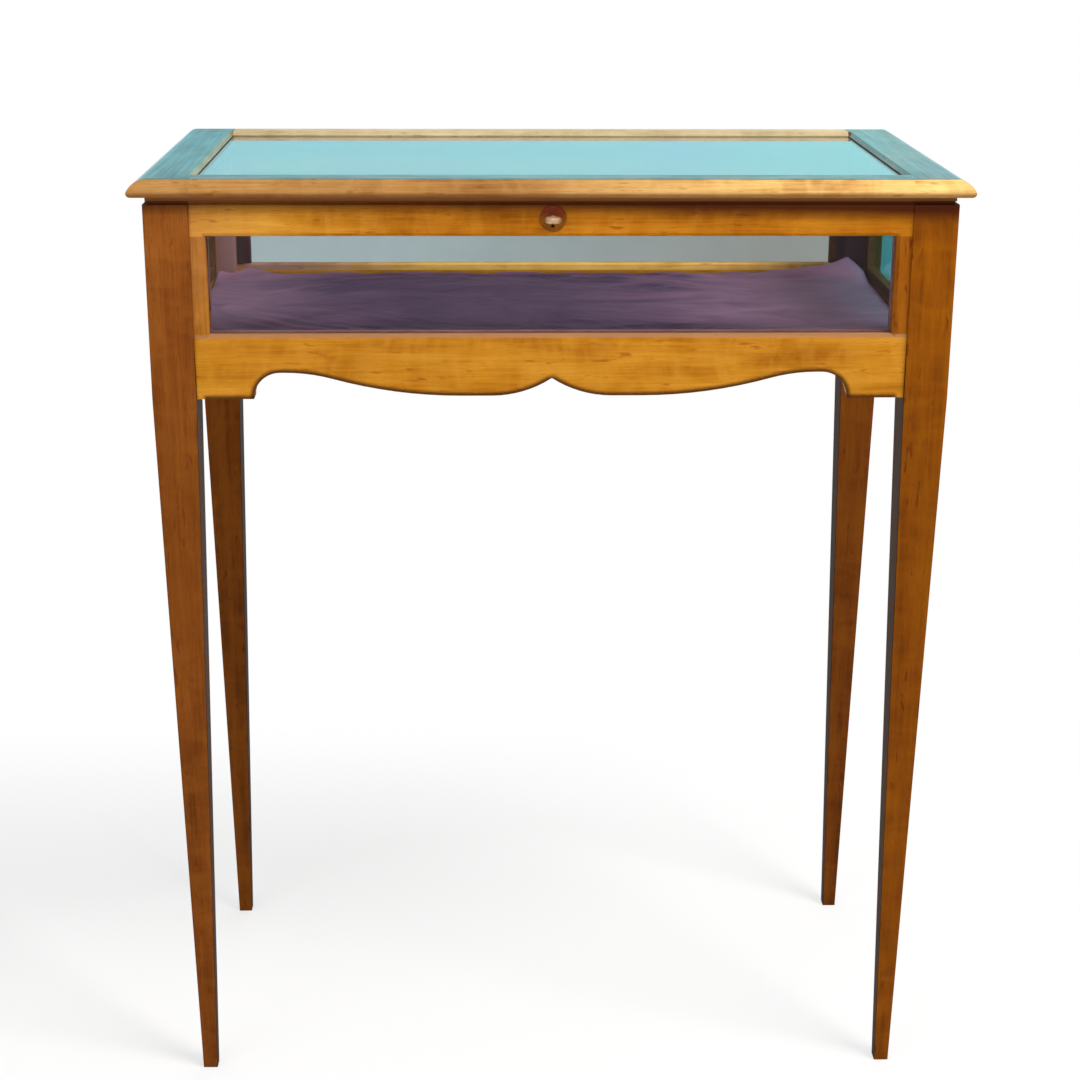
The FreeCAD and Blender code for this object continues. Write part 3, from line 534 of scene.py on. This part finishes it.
# ---------------------------------------------------------------- glass
def pane_glass(name, tint, seed, index=1.5, dust=0.0, waviness=0.25, right_tint=None):
    """Old sheet glass: slightly wavy, tinted, and open to lamps so that the case is lit inside."""
    material, tree, place, axes = new_finish(name)
    wave_place = scaled(tree, place, (9.0, 9.0, 9.0), (seed, seed, seed))
    smear_place = scaled(tree, place, (30.0, 30.0, 30.0), (seed, 0.0, seed))
    waves = noise(tree, wave_place, 1.0, 1.0, 0.4, 0.2)
    smears = noise(tree, smear_place, 1.0, 4.0, 0.6, 0.6)
    colour = blended(tree, spread(tree, axes["X"], -0.15, 0.2), tint, right_tint or tint)
    smeared = spread(tree, smears, 0.3, 0.7)
    inputs = {
        "Base Color": blended(tree, smeared, colour, (0.94, 0.94, 0.94), "MULTIPLY"),
        "Roughness": spread(tree, smears, 0.45, 0.75, 0.0, 0.02),
        "IOR": index,
        "Transmission Weight": 1.0,
        "Normal": bumped(tree, waves, waviness, 0.0006),
    }
    glass = put(tree, "BsdfPrincipled", inputs).outputs[0]
    film = put(tree, "BsdfDiffuse", {"Color": pane_dust}).outputs[0]
    filmed = spread(tree, smears, 0.3, 0.7, dust * 0.85, dust)
    glass = put(tree, "MixShader", {0: filmed, 1: glass, 2: film}).outputs[0]
    lamp_tint = tuple(part ** 0.25 for part in tint)  # paler, so that the case isn't dark
    clear = put(tree, "BsdfTransparent", {"Color": lamp_tint}).outputs[0]
    path = put(tree, "LightPath").outputs
    lamp_ray = larger(tree, path["Is Shadow Ray"], path["Is Diffuse Ray"])
    finish_with(tree, put(tree, "MixShader", {0: lamp_ray, 1: glass, 2: clear}).outputs[0])
    return material


# ---------------------------------------------------------------- metal
def metal(name, film_colour, rubbed, roughness, seed, metallic=1.0, upper=None, ends=None):
    """Handled metal: a darker film in patches, brighter where it is rubbed, fine scratches.

    upper is the colour of painted shade above the keyhole, ends the film's colour at the two ends.
    """
    material, tree, place, axes = new_finish(name)
    film_place = scaled(tree, place, (160.0, 160.0, 160.0), (seed, seed, seed))
    scratch_place = scaled(tree, place, (2500.0, 240.0, 700.0), (seed, seed, seed))
    film = noise(tree, film_place, 1.0, 4.0, 0.6, 0.4)
    scratches = noise(tree, scratch_place, 1.0, 3.0, 0.6)
    colour = blended(tree, spread(tree, film, 0.35, 0.65), film_colour, rubbed)
    # painted shade on the upper part
    if upper:
        low, high = keyhole_height - 0.001, keyhole_height + 0.005
        colour = blended(tree, spread(tree, axes["Z"], low, high, 0.0, 0.9), colour, upper)
    if ends:
        from_middle = count(tree, "ABSOLUTE", count(tree, "ADD", axes["X"], 0.001))
        colour = blended(tree, spread(tree, from_middle, 0.003, 0.0065, 0.0, 0.8), colour, ends)
    inputs = {
        "Base Color": colour,
        "Metallic": metallic,
        "Roughness": spread(tree, film, 0.3, 0.7, roughness + 0.12, roughness),
        "Specular IOR Level": 0.1,
        "Normal": bumped(tree, scratches, 0.12, 0.0001),
    }
    finish_with(tree, put(tree, "BsdfPrincipled", inputs).outputs[0])
    return material


# ---------------------------------------------------------------- velvet
def velvet_finish():
    """Mauve velvet with its pile crushed in patches, painted shade in the middle, and painted
    sheen at its sides and on its folds.
    """
    material, tree, place, axes = new_finish("mauve velvet")
    stroke_place = scaled(tree, place, (45.0, 120.0, 60.0), (4.0, 1.0, 0.0))
    patches = noise(tree, scaled(tree, place, (11.0, 20.0, 30.0)), 1.0, 3.0, 0.55, 1.0)
    strokes = noise(tree, stroke_place, 1.0, 3.0, 0.6, 0.8)
    pile = noise(tree, scaled(tree, place, (1500.0, 1500.0, 1500.0)), 1.0, 2.0, 0.5)
    colour = blended(tree, spread(tree, patches, 0.36, 0.62), velvet_crushed, velvet_upright)
    stroked = spread(tree, strokes, 0.55, 0.72, 0.0, 0.35)
    colour = blended(tree, stroked, colour, velvet_stroked)
    # painted shade in the middle
    from_middle = count(tree, "ABSOLUTE", count(tree, "ADD", axes["X"], 0.06))
    dimmed = spread(tree, from_middle, 0.07, 0.2, 0.75, 0.0)
    colour = blended(tree, dimmed, colour, velvet_dim)
    # painted sheen at the sides
    left_sheen = spread(tree, axes["X"], -0.28, -0.18, 0.38, 0.0)
    right_sheen = spread(tree, axes["X"], 0.1, 0.25, 0.0, 0.6)
    colour = blended(tree, larger(tree, left_sheen, right_sheen), colour, velvet_side_sheen)
    # painted sheen on the raised folds
    raised = spread(tree, axes["Z"], velvet_top + 0.001, velvet_top + 0.007, 0.0, 0.7)
    colour = blended(tree, raised, colour, velvet_fold)
    inputs = {
        "Base Color": colour,
        "Roughness": 0.85,
        "Specular IOR Level": 0.0,
        "Sheen Weight": 0.22,
        "Sheen Roughness": 0.35,
        "Sheen Tint": velvet_sheen,
        "Normal": bumped(tree, pile, 0.08, 0.0003),
    }
    finish_with(tree, put(tree, "BsdfPrincipled", inputs).outputs[0])
    return material


cloth_step = 0.0045
cloth_thickness = 0.0012
ease = 0.005  # cloth that is cut wider than the floor, at each side
wall_clear = 0.0008  # between the cloth and the walls and legs
notch_x = leg_inner_x - wall_clear  # where the cloth is cut out for the legs
notch_y = leg_inner_y - wall_clear
laid_x = lining_high.x - wall_clear  # half sizes of the cloth as it lies
laid_y = lining_high.y - wall_clear
cut_x = laid_x + ease  # and as it is cut
cut_y = laid_y + ease
start_height = board_top + 0.0016
tuck_frames = 24
sim_frames = 36
corner_heaps = (  # at the back corners: side, height, reach
    (1.0, 0.006, 0.12),
    (1.0, 0.008, 0.04),
    (-1.0, 0.007, 0.05),
)


def select_none():
    for thing in bpy.context.selected_objects:
        thing.select_set(False)


def make_current(piece):
    select_none()
    piece.select_set(True)
    bpy.context.view_layer.objects.active = piece


def flat_cloth():
    """A grid at the size the cloth is cut to, without the corners where the legs stand."""
    select_none()
    bpy.ops.mesh.primitive_grid_add(
        x_subdivisions=round(2 * cut_x / cloth_step),
        y_subdivisions=round(2 * cut_y / cloth_step),
        size=2.0,
        location=(0, 0, 0),
    )
    cloth = bpy.context.object
    cloth.name = "velvet_floor"
    cloth.scale = (cut_x, cut_y, 1.0)
    bpy.ops.object.transform_apply(location=False, rotation=False, scale=True)

    make_current(cloth)
    bpy.ops.object.mode_set(mode="EDIT")
    bpy.ops.mesh.select_all(action="DESELECT")
    bpy.ops.object.mode_set(mode="OBJECT")
    for face in cloth.data.polygons:
        x = abs(face.center.x) * laid_x / cut_x
        y = abs(face.center.y) * laid_y / cut_y
        face.select = x > notch_x and y > notch_y
    bpy.ops.object.mode_set(mode="EDIT")
    bpy.ops.mesh.delete(type="FACE")
    bpy.ops.object.mode_set(mode="OBJECT")
    return cloth


def border_of(mesh):
    """The vertices round the cloth's edge."""
    edge_uses = {}
    for face in mesh.polygons:
        for key in face.edge_keys:
            edge_uses[key] = edge_uses.get(key, 0) + 1
    return {vertex for key, uses in edge_uses.items() if uses == 1 for vertex in key}


def rise_of_border(x, y):
    """How high the tucked edge stands: small waves, and heaps in the back corners."""
    wave = math.sin(x * 43.0 + 1.3) * math.sin(y * 51.0 + 0.4) + 0.5 * math.sin((x - y) * 88.0)
    heap = 0.0
    for side, height, reach in corner_heaps:
        away = math.hypot(x - side * notch_x, y - notch_y)
        heap += height * max(1.0 - away / reach, 0.0)
    return 0.0004 + 0.0005 * (wave + 1.0) + heap * (1.0 + 0.35 * math.sin(x * 190.0))


def lay_velvet():
    """A cloth cut a little too large, tucked down inside the case so that it wrinkles."""
    cloth = flat_cloth()
    mesh = cloth.data
    for vertex in mesh.vertices:
        vertex.co.z = start_height
    border = border_of(mesh)
    cloth.shape_key_add(name="cut")
    tucked = cloth.shape_key_add(name="tucked")
    for index in border:
        x = mesh.vertices[index].co.x * laid_x / cut_x
        y = mesh.vertices[index].co.y * laid_y / cut_y
        tucked.data[index].co = Vector((x, y, start_height + rise_of_border(x, y)))
    tucked.value = 0.0
    tucked.keyframe_insert("value", frame=1)
    tucked.value = 1.0
    tucked.keyframe_insert("value", frame=tuck_frames)
    cloth.vertex_groups.new(name="border").add(sorted(border), 1.0, "REPLACE")
    return cloth


def board_for_the_cloth():
    """A flat board that the cloth falls on, taken away again afterwards."""
    select_none()
    bpy.ops.mesh.primitive_plane_add(size=1.0, location=(0, 0, board_top))
    board = bpy.context.object
    board.name = "cloth_board"
    board.modifiers.new("collision", "COLLISION")
    board.collision.thickness_outer = cloth_thickness
    board.collision.cloth_friction = 12.0
    return board


def settle(cloth):
    """Runs the cloth and keeps the shape that it comes to."""
    board = board_for_the_cloth()
    modifier = cloth.modifiers.new("cloth", "CLOTH")
    settings = modifier.settings
    settings.quality = 6
    settings.mass = 0.25
    settings.tension_stiffness = 14.0
    settings.compression_stiffness = 14.0
    settings.shear_stiffness = 8.0
    settings.bending_stiffness = 7.0
    settings.vertex_group_mass = "border"
    modifier.collision_settings.distance_min = cloth_thickness
    modifier.collision_settings.use_self_collision = False
    modifier.point_cache.frame_start = 1
    modifier.point_cache.frame_end = sim_frames
    scene = bpy.context.scene
    for number in range(1, sim_frames + 1):
        scene.frame_set(number)
    depsgraph = bpy.context.evaluated_depsgraph_get()
    settled = [vertex.co.copy() for vertex in cloth.evaluated_get(depsgraph).data.vertices]
    cloth.modifiers.remove(modifier)
    cloth.shape_key_clear()
    for vertex, co in zip(cloth.data.vertices, settled):
        vertex.co = co
    scene.frame_set(1)
    bpy.data.objects.remove(board)


def comb_and_thicken(cloth):
    """Takes fine streaks out of the cloth, gives it its thickness, and rounds it."""
    make_current(cloth)
    bpy.ops.object.shade_smooth()
    combed = cloth.modifiers.new("combed", "SMOOTH")
    combed.factor = 0.5
    combed.iterations = 4
    combed.use_x = False
    combed.use_y = False
    combed.vertex_group = "border"
    combed.invert_vertex_group = True
    bpy.ops.object.modifier_apply(modifier="combed")
    body = cloth.modifiers.new("body", "SOLIDIFY")
    body.thickness = cloth_thickness
    body.offset = 0.0
    bpy.ops.object.modifier_apply(modifier="body")
    soft = cloth.modifiers.new("soft", "SUBSURF")
    soft.levels = 1
    soft.render_levels = 1
    bpy.ops.object.modifier_apply(modifier="soft")


velvet = lay_velvet()
settle(velvet)
comb_and_thicken(velvet)
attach(velvet, "case")
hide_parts("velvet_lining")
velvet.data.materials.clear()
velvet.data.materials.append(velvet_finish())


# ---------------------------------------------------------------- finishes of the table
def dress(name, material):
    mesh = nodes[name].data
    mesh.materials.clear()
    mesh.materials.append(material)


seed = 0
for corner, tones, change_inside in (
    ("front_left", dull_leg_tones, shaded_inside),
    ("front_right", leg_tones, shaded_inside),
    ("back_left", shaded_back_leg_tones, lit_inside),
    ("back_right", shaded_back_leg_tones, shaded_inside),
):
    seed += 1
    dress("leg_" + corner, leg_wood("leg wood " + corner, tones, seed, change_inside))

rail_changes = (side_of_case, shaded_inside, under_the_lid)
for side, axis, apron_changes, beads, bead_changes, lit_sill_tones in (
    ("front", "X", (apron_edges,), mauve_bead_tones, (), None),
    # the back bead's lowest millimetre gets painted light
    ("back", "X", (apron_edges,), bead_tones, (back_bead,), lit_bead_tones),
    ("left", "Y", (shaded_inside, apron_edges), bead_tones, (shaded_inside,), None),
    ("right", "Y", (shaded_inside, apron_edges), bead_tones, (shaded_inside,), None),
):
    seed += 1
    rail = wood("top rail wood " + side, axis, rail_tones, seed, satin, rail_changes)
    apron = wood("apron wood " + side, axis, apron_tones, seed + 20, satin, apron_changes)
    bead = wood("bead wood " + side, axis, beads, seed + 40, satin, bead_changes, lit_sill_tones)
    cleat = wood("cleat wood " + side, axis, inner_tones, seed + 60, dull)
    dress("top_rail_" + side, rail)
    dress("apron_" + side, apron)
    dress("beads_" + side, bead)
    dress("cleat_" + side, cleat)
    stile_changes = (side_of_case, dark_inside if side == "back" else shaded_inside)
    for end in ("left", "right") if axis == "X" else ("front", "back"):
        seed += 1
        stile = "stile_" + side + "_" + end
        dress(stile, wood(stile.replace("_", " "), "Z", stile_tones, seed, satin, stile_changes))
dress("baseboard", wood("baseboard wood", "X", inner_tones, 90, dull))

for name, axis, seed, tones, polish, bevel_polish in (
    ("lid_stile_left", "Y", 101, (shaded_lid_tones, lit_bevel_tones, shaded_lip_tones), polished, 0.5),
    ("lid_stile_right", "Y", 104, (lid_tones, lid_tones, shaded_lip_tones), polished, polished),
    ("lid_rail_front", "X", 107, (lid_tones, lid_tones, shaded_lip_tones), polished, polished),
    ("lid_rail_back", "X", 110, (lit_rail_tones, lit_rail_tones, lit_lip_tones), half_polished, dull),
):
    dress(name, lid_wood(name.replace("_", " "), axis, seed, *tones, polish, bevel_polish))
dress("lid_beads", wood("lid bead wood", "X", bead_tones, 113, satin))

dress("glass_front", pane_glass("front pane", (0.95, 0.97, 0.97), 1.0, index=1.15))
back_right_tint = (0.31, 0.33, 0.31)
dress("glass_back", pane_glass("back pane", (0.4, 0.49, 0.5), 2.0, right_tint=back_right_tint))
dress("glass_left", pane_glass("left pane", (0.12, 0.42, 0.46), 3.0))
dress("glass_right", pane_glass("right pane", (0.07, 0.44, 0.49), 4.0))
dress("lid_glass", pane_glass("lid pane", (0.75, 0.86, 0.88), 5.0, dust=0.08, waviness=0.06))

brass = metal("aged brass", brass_film, brass_rubbed, 0.28, 1.0)
dark_brass = metal("patinated brass", patina_low, patina_rubbed, 0.6, 2.0, 0.1, shade_above_keyhole)
steel = metal("plain steel", steel_film, steel_rubbed, 0.33, 3.0)
bronze = metal("pale bronze", bronze_film, bronze_rubbed, 0.55, 4.0, 0.4, ends=dull_bronze)
for name in nodes:
    if name.startswith(("hinge_", "link_")) or name in ("lock_plate", "lock_screws"):
        dress(name, brass)
for name in ("escutcheon", "escutcheon_pins"):
    dress(name, dark_brass)
for name in ("lock_bolt", "lock_case", "lock_drill_pin", "baseboard_screws"):
    dress(name, steel)
dress("key", bronze)


# ---------------------------------------------------------------- camera
def set_camera():
    """The eye stands a little left of the middle and looks down on the lid."""
    frame_side = 1080.0
    focal = 2078.81
    pitch = 0.31450
    yaw = -0.02924
    roll = 0.00452
    eye = Vector((-0.05410, -1.71264, 0.97965))
    middle_drop = 4.954
    level_right = Vector((math.cos(yaw), math.sin(yaw), 0.0))
    level_ahead = Vector((-math.sin(yaw), math.cos(yaw), 0.0))
    ahead = math.cos(pitch) * level_ahead - math.sin(pitch) * Vector((0, 0, 1))
    above = math.sin(pitch) * level_ahead + math.cos(pitch) * Vector((0, 0, 1))
    right = math.cos(roll) * level_right + math.sin(roll) * above
    up = -math.sin(roll) * level_right + math.cos(roll) * above

    lens = bpy.data.cameras.new("camera")
    camera = bpy.data.objects.new("camera", lens)
    bpy.context.scene.collection.objects.link(camera)
    lens.sensor_width = 36.0
    lens.lens = 36.0 * focal / frame_side
    lens.shift_y = middle_drop / frame_side
    lens.clip_end = 100.0
    turn = Matrix((right, up, -ahead)).transposed().to_4x4()
    camera.matrix_world = Matrix.Translation(eye) @ turn
    bpy.context.scene.camera = camera


# ---------------------------------------------------------------- floor, world and lamps
def pale_floor():
    """White floor that keeps the table's soft shadow, whiter to the back, right and far away."""
    select_none()
    bpy.ops.mesh.primitive_plane_add(size=60.0, location=(0, 0, 0))
    floor = bpy.context.object
    floor.name = "floor"
    material, tree, place, axes = new_finish("pale floor")
    cloudy = noise(tree, scaled(tree, place, (1.5, 1.5, 1.5)), 1.0, 2.0)
    colour = blended(tree, cloudy, (0.84, 0.84, 0.84), (0.88, 0.88, 0.88))
    matt = put(tree, "BsdfDiffuse", {"Color": colour}).outputs[0]
    bright = put(tree, "Emission", {"Color": white, "Strength": 1.0}).outputs[0]
    path = put(tree, "LightPath").outputs
    seen = larger(tree, path["Is Camera Ray"], path["Is Glossy Ray"])
    seen = larger(tree, seen, path["Is Transmission Ray"])
    away = put(tree, "VectorMath", {0: place}, operation="LENGTH").outputs["Value"]
    to_back = spread(tree, axes["Y"], 0.12, 0.6, 0.5, 1.0)
    to_right = spread(tree, axes["X"], -0.6, -0.05, 0.5, 0.7)
    far = spread(tree, away, 0.45, 1.3, 0.4, 1.0)
    lifted = product(tree, seen, larger(tree, larger(tree, to_back, to_right), far))
    finish_with(tree, put(tree, "MixShader", {0: lifted, 1: matt, 2: bright}).outputs[0])
    floor.data.materials.append(material)


light_all_round = 0.42  # how strongly the world lights the table


def studio_world():
    """White all round. Polish mirrors a pale sky behind the table and a dim room in front."""
    world = bpy.data.worlds.new("studio")
    bpy.context.scene.world = world
    world.use_nodes = True
    tree = world.node_tree
    tree.nodes.clear()
    aim = put(tree, "TexCoord").outputs["Generated"]
    direction = xyz(tree, aim)
    clouds = spread(tree, noise(tree, aim, 9.0, 2.0, 0.5, 0.3), 0.38, 0.62)
    low_sky = blended(tree, clouds, low_sky_blue, low_sky_green)
    sky = blended(tree, spread(tree, direction["Z"], 0.3, 0.9), low_sky, high_sky)
    sky = blended(tree, spread(tree, direction["Y"], -0.4, 0.1), dim_room, sky)
    path = put(tree, "LightPath").outputs
    colour = blended(tree, path["Is Glossy Ray"], white, sky)
    plain = larger(tree, path["Is Camera Ray"], path["Is Transmission Ray"])
    mirrored = spread(tree, direction["X"], -0.25, 0.25, 0.99, 1.12)
    seen = larger(tree, plain, product(tree, path["Is Glossy Ray"], mirrored))
    strength = larger(tree, seen, light_all_round)
    surface = put(tree, "Background", {"Color": colour, "Strength": strength}).outputs[0]
    put(tree, "OutputWorld", {"Surface": surface})


def soft_lamp(name, place, target, size, power, colour, mirrored=False):
    light = bpy.data.lights.new(name, "AREA")
    light.shape = "SQUARE"
    light.size = size
    light.energy = power
    light.color = colour
    lamp = bpy.data.objects.new(name, light)
    bpy.context.scene.collection.objects.link(lamp)
    lamp.location = place
    lamp.rotation_euler = (Vector(target) - Vector(place)).to_track_quat("-Z", "Y").to_euler()
    lamp.visible_camera = False
    lamp.visible_glossy = mirrored
    lamp.visible_transmission = mirrored


set_camera()
pale_floor()
studio_world()
soft_lamp("key lamp", (1.6, -1.3, 3.0), (0, 0, 0.6), 1.2, 88.0, warm_white, mirrored=True)
soft_lamp("top lamp", (0.0, -0.2, 2.9), (0, 0, 0.7), 2.6, 16.0, white)
soft_lamp("fill lamp", (-1.6, -2.2, 1.3), (0, 0, 0.5), 1.8, 22.0, cool_white)
soft_lamp("back lamp", (0.4, 2.0, 1.8), (0, 0, 0.6), 1.6, 10.0, white)

bpy.context.scene.view_settings.view_transform = "Standard"
